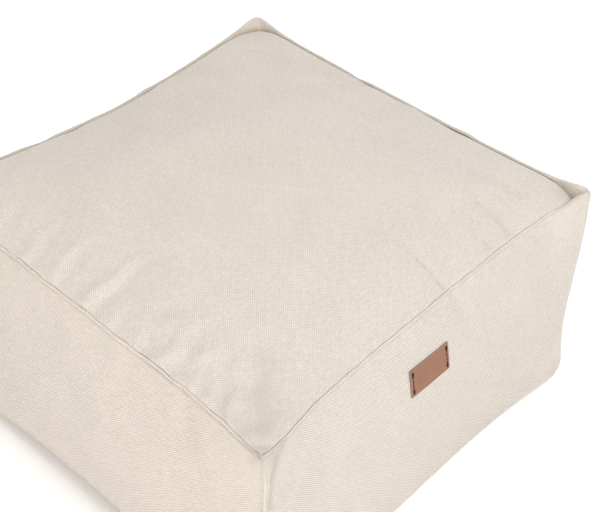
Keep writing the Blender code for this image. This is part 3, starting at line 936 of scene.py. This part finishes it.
@dataclass(frozen=True)
class CanvasFinish:
    """Undyed cotton canvas, woven plain from slubby yarn: matt, warm and a little fuzzy.

    The eye sees pale rounded threads, one over and one under, with darker gaps, and yarns that differ a
    little in thickness and tone. The gaps' darkness is painted shade between the yarns, and the warp's
    darker tone is painted shade of the crossings where it lies on top. Nothing on it shines. The pitch is
    the cloth's own, read from the photo.
    Single fibres are too fine to show, so their fuzz is drawn coarser.
    """

    yarn_pitch: float = 1.38 * MM
    roundness: float = 0.5
    yarn_edge: float = 0.15
    over_under: float = 0.45
    warp_rise: float = 0.72
    relief: float = 0.5 * MM
    wander: float = 0.35 * MM
    wander_length: float = 45 * MM
    # The warp is a shade darker than the weft: painted shade of the crossings where the warp lies on top.
    warp: str = "#D7CEC4"
    weft: str = "#F1EBE4"
    # The gaps darken to this colour by the weave's height: painted shade between the yarns.
    gap: str = "#8E8273"
    closed_yarn: str = "#C1B8AD"
    gap_low: float = 0.15
    gap_high: float = 0.85
    slub_length: float = 6 * MM
    slub_scale: float = 0.7
    slub_range: float = 0.25
    slub_shade: float = 0.12
    blotch_length: float = 60 * MM
    blotch_shade: float = 0.3
    fibre: float = 0.25 * MM
    fuzz: float = 0.25
    # The colour that seam lines, roll strips and crease hollows darken to: painted shade, with some soil at
    # the seams.
    seam: str = "#978771"
    roughness: float = 0.92
    sheen: float = 0.10
    sheen_roughness: float = 0.6

    def yarns(self, tree: bpy.types.NodeTree) -> tuple[bpy.types.Node, ...]:
        """The weave on the flat panels.

        Args:
            tree: The material's node tree.

        Returns:
            Its height from 0 in a gap to 1 on a yarn, 1 where a warp yarn is on top and 0 where a weft yarn
            is, and the tone of the yarn on top, which differs along and between the yarns.
        """
        flat = add(tree, "ShaderNodeUVMap", {}, uv_map="weave").outputs["UV"]
        drift = add(
            tree, "ShaderNodeTexNoise", {"Vector": flat, "Scale": 1.0 / self.wander_length, "Detail": 2.0}
        )
        moved = add(
            tree,
            "ShaderNodeVectorMath",
            {0: drift.outputs["Color"], 1: (2.0 * self.wander, 2.0 * self.wander, 0.0), 2: flat},
            operation="MULTIPLY_ADD",
        )
        per_yarn = math.pi / self.yarn_pitch
        turns = add(tree, "ShaderNodeVectorMath", {0: moved, "Scale": per_yarn}, operation="SCALE")
        waves = add(tree, "ShaderNodeVectorMath", {0: turns}, operation="SINE")
        humps = add(tree, "ShaderNodeVectorMath", {0: waves}, operation="ABSOLUTE")
        wave = add(tree, "ShaderNodeSeparateXYZ", {0: waves}).outputs
        hump = add(tree, "ShaderNodeSeparateXYZ", {0: humps}).outputs
        cross = add(tree, "ShaderNodeMath", {0: wave["X"], 1: wave["Y"]}, operation="MULTIPLY")
        yarns, tones = [], []
        fine, long = 1.0 / self.yarn_pitch, 1.0 / self.slub_length
        kinds = (("X", 1.0, self.warp_rise, (fine, long, 0.0)), ("Y", -1.0, 1.0, (long, fine, 0.0)))
        for axis, sign, rise, stretch in kinds:
            round_top = add(tree, "ShaderNodeMath", {0: hump[axis], 1: self.roundness}, operation="POWER")
            over = add(
                tree,
                "ShaderNodeMath",
                {0: cross, 1: sign * rise * self.over_under, 2: rise * (1.0 - self.over_under)},
                operation="MULTIPLY_ADD",
            )
            yarn = add(tree, "ShaderNodeMath", {0: round_top, 1: over}, operation="MULTIPLY")
            yarns.append(yarn)
            along = add(tree, "ShaderNodeVectorMath", {0: moved, 1: stretch}, operation="MULTIPLY")
            slub = {"Vector": along, "Scale": self.slub_scale, "Detail": 1.0}
            tones.append(add(tree, "ShaderNodeTexNoise", slub).outputs["Fac"])
        height = add(tree, "ShaderNodeMath", {0: yarns[0], 1: yarns[1]}, operation="MAXIMUM")
        lead = add(tree, "ShaderNodeMath", {0: yarns[0], 1: yarns[1]}, operation="SUBTRACT")
        edge = self.yarn_edge
        on_top = add(tree, "ShaderNodeMapRange", {"Value": lead, "From Min": -edge, "From Max": edge})
        tone = add(tree, "ShaderNodeMix", {"Factor_Float": on_top, "A_Float": tones[1], "B_Float": tones[0]})
        return height, on_top, tone

    def build(self) -> bpy.types.Material:
        """Makes the material."""
        material, tree = new_material("woven_cotton_canvas")
        height, on_top, tone = self.yarns(tree)
        here = add(tree, "ShaderNodeTexCoord", {}).outputs["Object"]
        blotch, fibre = (
            add(tree, "ShaderNodeTexNoise", {"Vector": here, "Scale": 1.0 / length, "Detail": detail})
            for length, detail in ((self.blotch_length, 3.0), (self.fibre, 2.0))
        )
        openness = add(tree, "ShaderNodeAttribute", {}, attribute_name="open_weave").outputs["Fac"]
        loose = layered(tree, srgb(self.weft), (on_top, srgb(self.warp)))
        yarn = layered(tree, srgb(self.closed_yarn), (openness, loose))
        uneven = add(
            tree,
            "ShaderNodeMath",
            {0: blotch.outputs["Fac"], 1: self.blotch_shade, 2: tone},
            operation="MULTIPLY_ADD",
        )
        middle = 0.5 + self.blotch_shade / 2.0
        shade = add(
            tree,
            "ShaderNodeMapRange",
            {
                "Value": uneven,
                "From Min": middle - self.slub_range,
                "From Max": middle + self.slub_range,
                "To Min": 1.0 - self.slub_shade,
                "To Max": 1.0 + self.slub_shade,
            },
            clamp=False,
        )
        spun = add(tree, "ShaderNodeVectorMath", {0: yarn, "Scale": shade}, operation="SCALE")
        closed = add(
            tree,
            "ShaderNodeMapRange",
            {"Value": height, "From Min": self.gap_low, "From Max": self.gap_high},
            interpolation_type="SMOOTHSTEP",
        )
        # Painted shade: the gaps darken to the gap colour by the weave's height, and the seams' lines, the
        # far rolls' strips and the creases' hollows darken to the seam colour.
        line = add(tree, "ShaderNodeAttribute", {}, attribute_name="painted_seam_shade").outputs["Fac"]
        sewn = layered(tree, spun, (openness, srgb(self.gap)), (closed, spun), (line, srgb(self.seam)))
        fuzzy = add(
            tree,
            "ShaderNodeMath",
            {0: fibre.outputs["Fac"], 1: self.fuzz, 2: height},
            operation="MULTIPLY_ADD",
        )
        bump = add(tree, "ShaderNodeBump", {"Height": fuzzy, "Distance": self.relief, "Strength": 1.0})
        look = {
            "Base Color": sewn,
            "Roughness": self.roughness,
            "Sheen Weight": self.sheen,
            "Sheen Roughness": self.sheen_roughness,
            "Normal": bump,
        }
        surface_of(tree, look)
        return material


@dataclass(frozen=True)
class LeatherFinish:
    """Vegetable-tanned cowhide, cut and dyed tan: a fine pebbled grain with a low gloss.

    The eye sees a warm brown face, mottled by the tanning, and darker, greyer edges where it was cut. The
    pebbles of real hide are about half as wide, too fine to show, so they are drawn coarser.
    """

    face: str = "#96603F"
    face_dark: str = "#6E5242"
    edge: str = "#7E7065"
    pebble: float = 0.9 * MM
    mottle: float = 9 * MM
    relief: float = 0.08 * MM
    roughness: float = 0.55

    def build(self) -> bpy.types.Material:
        """Makes the material."""
        material, tree = new_material("tanned_cowhide")
        here = add(tree, "ShaderNodeTexCoord", {}).outputs["Object"]
        mottle = add(tree, "ShaderNodeTexNoise", {"Vector": here, "Scale": 1.0 / self.mottle, "Detail": 4.0})
        blotch = mottle.outputs["Fac"]
        rim = add(tree, "ShaderNodeAttribute", {}, attribute_name="cut_edge").outputs["Fac"]
        cut = layered(tree, srgb(self.face_dark), (blotch, srgb(self.face)), (rim, srgb(self.edge)))
        pebbles = add(
            tree, "ShaderNodeTexVoronoi", {"Vector": here, "Scale": 1.0 / self.pebble}, feature="SMOOTH_F1"
        )
        grain = add(tree, "ShaderNodeMath", {0: 1.0, 1: pebbles.outputs["Distance"]}, operation="SUBTRACT")
        bump = add(tree, "ShaderNodeBump", {"Height": grain, "Distance": self.relief, "Strength": 1.0})
        surface_of(tree, {"Base Color": cut, "Roughness": self.roughness, "Normal": bump})
        return material


@dataclass(frozen=True)
class ThreadFinish:
    """Waxed polyester sewing thread, two plies twisted: dark brown with a faint gloss on its turns.

    The eye sees little more than the dark line. The turns are drawn coarser than real ones, so that they
    show from close up.
    """

    colour: str = "#3C1D0D"
    ply: float = 0.5 * MM
    relief: float = 0.08 * MM
    roughness: float = 0.6
    gloss: float = 0.15

    def build(self) -> bpy.types.Material:
        """Makes the material."""
        material, tree = new_material("waxed_polyester_thread")
        here = add(tree, "ShaderNodeTexCoord", {}).outputs["Object"]
        turns = 1.0 / (self.ply * 2.0 * math.pi)
        plies = add(tree, "ShaderNodeTexWave", {"Vector": here, "Scale": turns}, bands_direction="DIAGONAL")
        ridges = plies.outputs["Fac"]
        bump = add(tree, "ShaderNodeBump", {"Height": ridges, "Distance": self.relief, "Strength": 1.0})
        look = {
            "Base Color": srgb(self.colour),
            "Roughness": self.roughness,
            "Specular IOR Level": self.gloss,
            "Normal": bump,
        }
        surface_of(tree, look)
        return material


@dataclass
class StuffedCover:
    """The canvas cover, stuffed: one closed surface of six sewn panels."""

    shape: CoverShape
    finish: CanvasFinish
    cell: float = 4.2 * MM
    seam_steps: tuple[float, ...] = (0.0, 0.7, 1.4, 2.1, 2.9, 3.8, 4.8, 6.0, 7.5, 9.5, 12.0, 15.0, 18.5)
    seam_shade_width: float = 0.75 * MM
    edge_shade_width: float = 0.6 * MM
    edge_shade_end: float = 22 * MM
    seam_shade_loss: float = 0.5
    strip_edge: float = 1.8 * MM
    under_reach: float = 8 * MM
    top_weave: float = 0.62
    top_weave_reach: float = 14 * MM
    seam_weave: float = 3 * MM
    seam_weave_reach: float = 12 * MM
    corner_weave_reach: float = 70 * MM
    seam_waves: tuple[tuple[float, float], ...] = ((95 * MM, 1.9), (47 * MM, 2.7), (26 * MM, 4.1))
    wobble_reach: float = 14 * MM
    wobble_fullness: float = 8.0

    def lines(self, half_span: float) -> np.ndarray:
        """Places of the grid lines along one axis: close beside the seams, then even.

        Args:
            half_span: Half the length of that axis on the cover.

        Returns:
            Places from -1 to 1.
        """
        steps = np.array(self.seam_steps) * MM / half_span
        return grid_lines(steps, 2 * math.ceil((1.0 - steps[-1]) * half_span / self.cell))

    def wander(self, places: np.ndarray, number: int) -> np.ndarray:
        """An uneven wave from -1 to 1 along a seam, different for each seam."""
        waves = [np.sin(2.0 * math.pi * places / length + number * turn) for length, turn in self.seam_waves]
        return np.mean(waves, axis=0)

    def relief(self, cube: np.ndarray, normals: np.ndarray) -> tuple[np.ndarray, np.ndarray]:
        """The line and the roll of each seam.

        Args:
            cube: Points on the skin of the plain cube.
            normals: The direction out of the cover at each of them.

        Returns:
            The move of each point, and how much painted seam shade it takes.
        """
        line = np.zeros(len(cube))
        shade = np.zeros(len(cube))
        move = np.zeros_like(cube)
        flat = self.shape.box(cube)
        for number, roll in enumerate(SEAM_ROLLS):
            axis = third_axis(roll.rolled, roll.beside)
            wave = self.wander(flat[:, axis], number)
            from_end = (1.0 - np.abs(cube[:, axis])) * np.ptp(flat[:, axis]) / 2.0
            sewn = settle(from_end / roll.line_end)
            on_rolled, on_beside = roll.rolled.holds(cube), roll.beside.holds(cube)
            seam = unit(roll.beside.out() - roll.rolled.out())
            # Painted groove shade with some soil, darkening the seam line.
            strength = roll.shade * (1.0 - self.seam_shade_loss * (1.0 - wave) / 2.0)
            for other, here in ((roll.beside, on_rolled), (roll.rolled, on_beside)):
                depth = self.shape.depth_from(cube, other)
                deep = roll.line_depth * sewn * bell(depth, roll.line_width)
                dark = strength * sewn * bell(depth, self.seam_shade_width)
                line = np.maximum(line, np.where(here, deep, 0.0))
                shade = np.maximum(shade, np.where(here, dark, 0.0))
                near = fade(depth, self.wobble_reach) * fullness(cube[:, axis], self.wobble_fullness)
                share = np.where(here, roll.wobble * wave * near, 0.0)
                share = np.where(on_rolled & on_beside, share / 2.0, share)
                move += seam * share[:, None]
            depth = self.shape.depth_from(cube, roll.beside)
            height = roll.height * (1.0 + roll.uneven * wave) * bell(depth - roll.distance, roll.width)
            height = height - roll.edge_depth * bell(depth - roll.edge_distance, roll.line_width)
            height = height * settle(from_end / max(roll.roll_end, roll.line_end))
            # Painted shade with some soil over the strip from the line to the top of the roll.
            past = np.maximum(depth - roll.distance, 0.0)
            over = np.where(on_beside, self.shape.depth_from(cube, roll.rolled), 0.0)
            strip = roll.roll_shade * bell(past, roll.width) * bell(over, self.strip_edge)
            strip = strip * settle(from_end / roll.shade_end)
            shade = np.maximum(shade, np.where(on_rolled | on_beside, strip, 0.0))
            # Painted shade: a thin shadow line where the turned-in cloth ends, and a soft band on the panel
            # under the seam.
            edge = roll.edge_shade * bell(depth - roll.edge_distance, self.edge_shade_width)
            edge = edge * settle(from_end / self.edge_shade_end)
            under = np.maximum(edge, roll.under_shade * bell(depth, self.under_reach))
            shade = np.maximum(shade, np.where(on_rolled, under, 0.0))
            way = unit(normals + roll.beside.out() * roll.lift)
            move += way * np.where(on_rolled, height, 0.0)[:, None]
        return move - normals * line[:, None], shade

    def weave_places(self, cube: np.ndarray, grid: CubeGrid) -> np.ndarray:
        """Where each cell corner lay on its flat cut panel, so that the threads stay parallel.

        Args:
            cube: Points on the skin of the plain cube.
            grid: The cells between them.

        Returns:
            Two lengths in metres for each corner of each cell.
        """
        flat = self.shape.box(cube)[grid.quads]
        places = np.zeros((*grid.quads.shape, 2))
        for number, panel in enumerate(Panel):
            here = grid.panels == number
            places[here] = flat[here][:, :, panel.ways()]
        return places.reshape(-1, 2)

    def open_weave(self, cube: np.ndarray) -> np.ndarray:
        """How much the gaps of the weave show: little on the top and where the seams gather the cloth."""
        near_top = settle(self.shape.depth_from(cube, TOP) / self.top_weave_reach)
        near_seam = settle((self.shape.from_seam(cube) + self.seam_weave) / self.seam_weave_reach)
        sides = self.top_weave + (1.0 - self.top_weave) * near_top * near_seam
        near_corner = settle(self.shape.depths(cube).max(axis=1) / self.corner_weave_reach)
        return np.where(TOP.holds(cube), self.top_weave, sides) * near_corner

    def build(self) -> bpy.types.Object:
        """Makes the cover's mesh and dresses it."""
        sizes = self.shape.sizes
        level = self.lines(sizes.top_half)
        grid = CubeGrid((level, level, self.lines(sizes.half_height)))
        places = self.shape.stuffed(grid.points)
        folds, fold_shade = self.shape.folds(grid.points)
        give = ClothPass(self.shape).ripples(grid.points)
        uneven = self.shape.puckers(grid.points) + folds + give
        places += grid.normals(places) * uneven[:, None]
        move, shade = self.relief(grid.points, grid.normals(places))
        places += move
        # The painted shade of the seams and of the creases, for the cloth's colour.
        shade = np.maximum(shade, fold_shade)
        places[:, 2] = np.maximum(places[:, 2], 0.0)
        mesh = new_mesh("canvas_cover", places, grid.quads)
        mark(mesh, "painted_seam_shade", shade)
        mark(mesh, "open_weave", self.open_weave(grid.points))
        weave = self.weave_places(grid.points, grid).astype(np.float32)
        mesh.uv_layers.new(name="weave").data.foreach_set("uv", weave.ravel())
        cover = place_mesh("canvas_cover", mesh, self.finish.build())
        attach(cover, BODY)
        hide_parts("pouf_body")
        LOG.info("canvas cover: %d points, %d cells", len(places), len(grid.quads))
        return cover


@dataclass
class LeatherPatch:
    """The leather patch on the front panel, bare, with a sunk row for the thread along each short end.

    along and up are its place on the plain cube, and step is the little way on it over which the panel's
    directions are taken.
    """

    shape: CoverShape
    finish: LeatherFinish
    width: float = PATCH_SIZE[0]
    height: float = PATCH_SIZE[1]
    thickness: float = 2 * MM
    along: float = PATCH_PLACE[0]
    up: float = PATCH_PLACE[1]
    tilt: float = math.radians(-1.5)
    seat: float = -0.2 * MM
    corner: float = 0.45 * MM
    cell: float = 0.9 * MM
    row_inset: float = 3.4 * MM
    row_end: float = 3.0 * MM
    row_depth: float = 0.3 * MM
    row_width: float = 0.8 * MM
    edge_shade_width: float = 0.6 * MM
    edge_steps: tuple[float, ...] = (0.0, 0.2, 0.5, 1.0)
    step: float = 0.01

    def surface(self, x: np.ndarray, z: np.ndarray) -> np.ndarray:
        """Points of the smooth front panel at places of the plain cube."""
        return self.shape.stuffed(np.stack([x, np.full_like(x, FRONT.side), z], axis=1))

    def on_panel(
        self, across: np.ndarray, upwards: np.ndarray, out: np.ndarray
    ) -> tuple[np.ndarray, np.ndarray]:
        """Carries places of the flat patch to the bowed front panel.

        Args:
            across: Distances from the patch's middle along its width.
            upwards: Distances from its middle along its height.
            out: Heights above the cloth.

        Returns:
            Their places in the part's frame, and the directions out of the panel there.
        """
        surface = self.surface
        middle = np.array([self.along]), np.array([self.up])
        rates = [
            np.linalg.norm(surface(middle[0] + dx, middle[1] + dz) - surface(*middle)) / self.step
            for dx, dz in ((self.step, 0.0), (0.0, self.step))
        ]
        cos, sin = math.cos(self.tilt), math.sin(self.tilt)
        x = self.along + (across * cos - upwards * sin) / rates[0]
        z = self.up + (across * sin + upwards * cos) / rates[1]
        here = surface(x, z)
        normals = unit(np.cross(surface(x + self.step, z) - here, surface(x, z + self.step) - here))
        return here + normals * out[:, None], normals

    def lines(self, size: float) -> np.ndarray:
        """Places of the grid lines along one size, with the rounded edges' own."""
        steps = np.array(self.edge_steps) * self.corner / (size / 2.0)
        return grid_lines(steps, math.ceil(size / self.cell))

    def row_sink(self, across: np.ndarray, upwards: np.ndarray) -> np.ndarray:
        """How deep the thread has pulled the leather in at each place."""
        from_row = np.abs(np.abs(across) - (self.width / 2.0 - self.row_inset))
        from_end = self.height / 2.0 - self.row_end + self.row_width - np.abs(upwards)
        inside = np.clip(from_end / self.row_width, 0.0, 1.0)
        return self.row_depth * bell(from_row, self.row_width) * inside

    def build(self) -> bpy.types.Object:
        """Makes the patch's mesh and dresses it."""
        size = np.array([self.width, self.thickness, self.height])
        grid = CubeGrid(tuple(self.lines(length) for length in size))
        flat = grid.points * size / 2.0
        core = size / 2.0 - self.corner
        inner = np.clip(flat, -core, core)
        flat = inner + unit(flat - inner) * self.corner
        edge = np.min(size / 2.0 - np.abs(flat), axis=1, where=np.array([True, False, True]), initial=1.0)
        out = self.seat + self.thickness / 2.0 - flat[:, 1]
        out -= np.where(flat[:, 1] < 0.0, self.row_sink(flat[:, 0], flat[:, 2]), 0.0)
        places, _ = self.on_panel(flat[:, 0], flat[:, 2], out)
        mesh = new_mesh("leather_patch", places, grid.quads)
        mark(mesh, "cut_edge", bell(edge, self.edge_shade_width))
        patch = place_mesh("leather_patch", mesh, self.finish.build())
        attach(patch, BODY)
        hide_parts("label_patch")
        LOG.info("leather patch: %d points, %d cells", len(places), len(grid.quads))
        return patch


@dataclass
class PatchStitches:
    """The thread that sews the patch on: a row of stitches along each short end, sewn over at its ends."""

    patch: LeatherPatch
    finish: ThreadFinish
    pitch: float = 4.4 * MM
    length: float = 3.9 * MM
    radius: float = 0.45 * MM
    rise: float = 0.5 * MM
    sink: float = 0.5 * MM
    back_rows: tuple[float, ...] = (-0.75 * MM, 0.75 * MM)
    back_length: float = 5.2 * MM
    row_points: int = 24
    sides: int = 10
    lean: tuple[float, float, float] = (0.04, 0.04, 0.09)
    seed: int = 7

    def rows(self) -> bpy.types.Object:
        """The lines along which the stitches lie, with the direction out of the leather at each point."""
        points: list[list[float]] = []
        outs: list[list[float]] = []
        edges: list[tuple[int, int]] = []
        patch = self.patch
        half = patch.height / 2.0 - patch.row_end
        for side in (-1.0, 1.0):
            row = side * (patch.width / 2.0 - patch.row_inset)
            spans = [(row, -half + self.length / 2.0, half - self.length / 2.0)]
            for end in (-1.0, 1.0):
                for offset in self.back_rows:
                    inner = half - self.back_length + self.length / 2.0
                    spans.append((row + offset, end * inner, end * (half - self.length / 2.0)))
            for across, low, high in spans:
                upwards = np.linspace(low, high, self.row_points)
                level = np.full(self.row_points, across)
                top = patch.seat + patch.thickness - patch.row_sink(level, upwards)
                places, normals = patch.on_panel(level, upwards, top)
                edges += [(len(points) + n, len(points) + n + 1) for n in range(self.row_points - 1)]
                points += places.tolist()
                outs += normals.tolist()
        mesh = bpy.data.meshes.new("stitch_rows")
        mesh.from_pydata(points, edges, [])
        out = mesh.attributes.new("out", "FLOAT_VECTOR", "POINT")
        out.data.foreach_set("vector", np.ravel(outs).astype(np.float32))
        rows = bpy.data.objects.new("stitch_rows", mesh)
        bpy.context.scene.collection.objects.link(rows)
        return rows

    def tree(self, thread: bpy.types.Material) -> bpy.types.NodeTree:
        """The stitching: one arched stitch at each pitch along the rows, a little uneven.

        Args:
            thread: The material of the stitches.

        Returns:
            A geometry tree with named inputs for its sizes.
        """
        tree = bpy.data.node_groups.new("patch_stitching", "GeometryNodeTree")
        tree.interface.new_socket("Rows", in_out="INPUT", socket_type="NodeSocketGeometry")
        for name in ("Pitch", "Length", "Radius", "Rise", "Sink"):
            tree.interface.new_socket(name, in_out="INPUT", socket_type="NodeSocketFloat")
        tree.interface.new_socket("Seed", in_out="INPUT", socket_type="NodeSocketInt")
        tree.interface.new_socket("Stitches", in_out="OUTPUT", socket_type="NodeSocketGeometry")
        given = add(tree, "NodeGroupInput", {}).outputs
        curve = add(tree, "GeometryNodeMeshToCurve", {"Mesh": given["Rows"]})
        places = add(
            tree, "GeometryNodeResampleCurve", {"Curve": curve, "Length": given["Pitch"]}, mode="LENGTH"
        )
        out = add(tree, "GeometryNodeInputNamedAttribute", {"Name": "out"}, data_type="FLOAT_VECTOR")
        tangent = add(tree, "GeometryNodeInputTangent", {})
        upright = add(tree, "FunctionNodeAlignRotationToVector", {"Vector": out}, axis="Z")
        turned = add(
            tree,
            "FunctionNodeAlignRotationToVector",
            {"Rotation": upright, "Vector": tangent},
            axis="X",
            pivot_axis="Z",
        )
        half, behind, low = (
            add(tree, "ShaderNodeMath", {0: given[name], 1: share}, operation="MULTIPLY")
            for name, share in (("Length", 0.5), ("Length", -0.5), ("Sink", -1.0))
        )
        twice = add(
            tree, "ShaderNodeMath", {0: given["Rise"], 1: 2.0, 2: given["Sink"]}, operation="MULTIPLY_ADD"
        )
        start = add(tree, "ShaderNodeCombineXYZ", {"X": behind, "Z": low})
        middle = add(tree, "ShaderNodeCombineXYZ", {"Z": twice})
        end = add(tree, "ShaderNodeCombineXYZ", {"X": half, "Z": low})
        path = add(
            tree,
            "GeometryNodeCurveQuadraticBezier",
            {"Resolution": self.sides, "Start": start, "Middle": middle, "End": end},
        )
        ring = add(
            tree, "GeometryNodeCurvePrimitiveCircle", {"Resolution": self.sides, "Radius": given["Radius"]}
        )
        stitch = add(
            tree, "GeometryNodeCurveToMesh", {"Curve": path, "Profile Curve": ring, "Fill Caps": True}
        )
        lean = add(
            tree,
            "FunctionNodeRandomValue",
            {"Min": [-turn for turn in self.lean], "Max": self.lean, "Seed": given["Seed"]},
            data_type="FLOAT_VECTOR",
        )
        leaning = add(
            tree,
            "FunctionNodeRotateRotation",
            {"Rotation": turned, "Rotate By": lean},
            rotation_space="LOCAL",
        )
        sewn = add(
            tree, "GeometryNodeInstanceOnPoints", {"Points": places, "Instance": stitch, "Rotation": leaning}
        )
        real = add(tree, "GeometryNodeRealizeInstances", {"Geometry": sewn})
        dressed = add(tree, "GeometryNodeSetMaterial", {"Geometry": real, "Material": thread})
        add(tree, "NodeGroupOutput", {"Stitches": dressed})
        return tree

    def build(self) -> bpy.types.Object:
        """Sews the rows and turns the stitches into a plain mesh."""
        thread = self.finish.build()
        rows = self.rows()
        sewing = rows.modifiers.new("stitching", "NODES")
        sewing.node_group = self.tree(thread)
        values = {
            "Pitch": self.pitch,
            "Length": self.length,
            "Radius": self.radius,
            "Rise": self.rise,
            "Sink": self.sink,
            "Seed": self.seed,
        }
        for item in sewing.node_group.interface.items_tree:
            if item.name in values:
                sewing[item.identifier] = values[item.name]
        evaluated = rows.evaluated_get(bpy.context.evaluated_depsgraph_get())
        mesh = bpy.data.meshes.new_from_object(evaluated)
        mesh.name = "patch_stitches"
        bpy.data.objects.remove(rows)
        mesh.materials.clear()
        stitches = place_mesh("patch_stitches", mesh, thread)
        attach(stitches, BODY)
        LOG.info("patch stitches: %d cells", len(mesh.polygons))
        return stitches


@dataclass(frozen=True)
class SoftLamp:
    """A large soft lamp, aimed at the middle of the pouf."""

    name: str
    azimuth: float
    elevation: float
    power: float
    colour: str = "#FFFFFF"
    size: float = 1.4
    distance: float = 2.6


@dataclass
class Studio:
    """A pale floor, plain soft light, and the camera at the photo's angle."""

    floor_size: float = 12.0
    floor_colour: str = "#FFFFFF"
    floor_roughness: float = 0.9
    sky: float = 0.62
    aim: tuple[float, float, float] = (0.0, 0.0, 0.2)
    lamps: tuple[SoftLamp, ...] = (
        SoftLamp("right_lamp", -50.0, 30.0, 16.0, "#F6F9FF"),
        SoftLamp("camera_lamp", 50.0, 15.0, 18.0, "#FFFAF2"),
        SoftLamp("left_lamp", 72.0, 10.0, 20.0, "#FFF8EE"),
        SoftLamp("front_overhead_lamp", 6.0, 62.0, 29.0, size=0.9),
        SoftLamp("back_overhead_lamp", 180.0, 60.0, 16.0),
    )
    camera_place: tuple[float, float, float] = (-0.69988, -0.65842, 1.05007)
    azimuth: float = math.radians(49.402)
    elevation: float = math.radians(41.408)
    roll: float = math.radians(2.90)
    lens: float = 68.93
    sensor: float = 36.0

    def build(self) -> None:
        """Makes the floor, the light and the camera."""
        scene = bpy.context.scene
        scene.view_settings.view_transform = "Standard"
        material, tree = new_material("painted_floor")
        surface_of(tree, {"Base Color": srgb(self.floor_colour), "Roughness": self.floor_roughness})
        tips = np.array([[-1.0, -1.0, 0.0], [1.0, -1.0, 0.0], [1.0, 1.0, 0.0], [-1.0, 1.0, 0.0]])
        mesh = new_mesh("studio_floor", tips * self.floor_size / 2.0, np.array([[0, 1, 2, 3]]))
        place_mesh("studio_floor", mesh, material)
        world = bpy.data.worlds.new("pale_room")
        world.use_nodes = True
        sky = world.node_tree.nodes["Background"]
        sky.inputs["Strength"].default_value = self.sky
        sky.inputs["Color"].default_value = (1.0, 1.0, 1.0, 1.0)
        scene.world = world
        for lamp in self.lamps:
            self.hang(lamp)
        data = bpy.data.cameras.new("photo_camera")
        data.lens = self.lens
        data.sensor_width = self.sensor
        camera = bpy.data.objects.new("photo_camera", data)
        turn = Matrix.Rotation(-self.azimuth, 4, "Z")
        tilt = Matrix.Rotation(math.pi / 2.0 - self.elevation, 4, "X")
        roll = Matrix.Rotation(self.roll, 4, "Z")
        camera.matrix_world = Matrix.Translation(self.camera_place) @ turn @ tilt @ roll
        scene.collection.objects.link(camera)
        scene.camera = camera
        LOG.info("studio: floor, %d lamps and camera", len(self.lamps))

    def hang(self, lamp: SoftLamp) -> None:
        """Hangs a lamp: azimuth 0 stands in front of the pouf, and 90 to its left."""
        data = bpy.data.lights.new(lamp.name, "AREA")
        data.energy = lamp.power
        data.size = lamp.size
        data.color = srgb(lamp.colour)[:3]
        light = bpy.data.objects.new(lamp.name, data)
        azimuth, elevation = math.radians(lamp.azimuth), math.radians(lamp.elevation)
        level, height = math.cos(elevation) * lamp.distance, math.sin(elevation) * lamp.distance
        away = Vector((-math.sin(azimuth) * level, -math.cos(azimuth) * level, height))
        light.location = Vector(self.aim) + away
        light.rotation_euler = away.to_track_quat("Z", "Y").to_euler()
        bpy.context.scene.collection.objects.link(light)


def corners(box: tuple[Vector, Vector]) -> list[list[float]]:
    """A box as plain lists."""
    return [list(corner) for corner in box]


def main() -> None:
    """Builds the pouf in order: cover, patch, thread, studio."""
    logging.basicConfig(level=logging.INFO, format="%(message)s")
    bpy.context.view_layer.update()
    shape = CoverShape()
    StuffedCover(shape, CanvasFinish()).build()
    patch = LeatherPatch(shape, LeatherFinish())
    patch.build()
    PatchStitches(patch, ThreadFinish()).build()
    Studio().build()


if __name__ == "__main__":
    main()
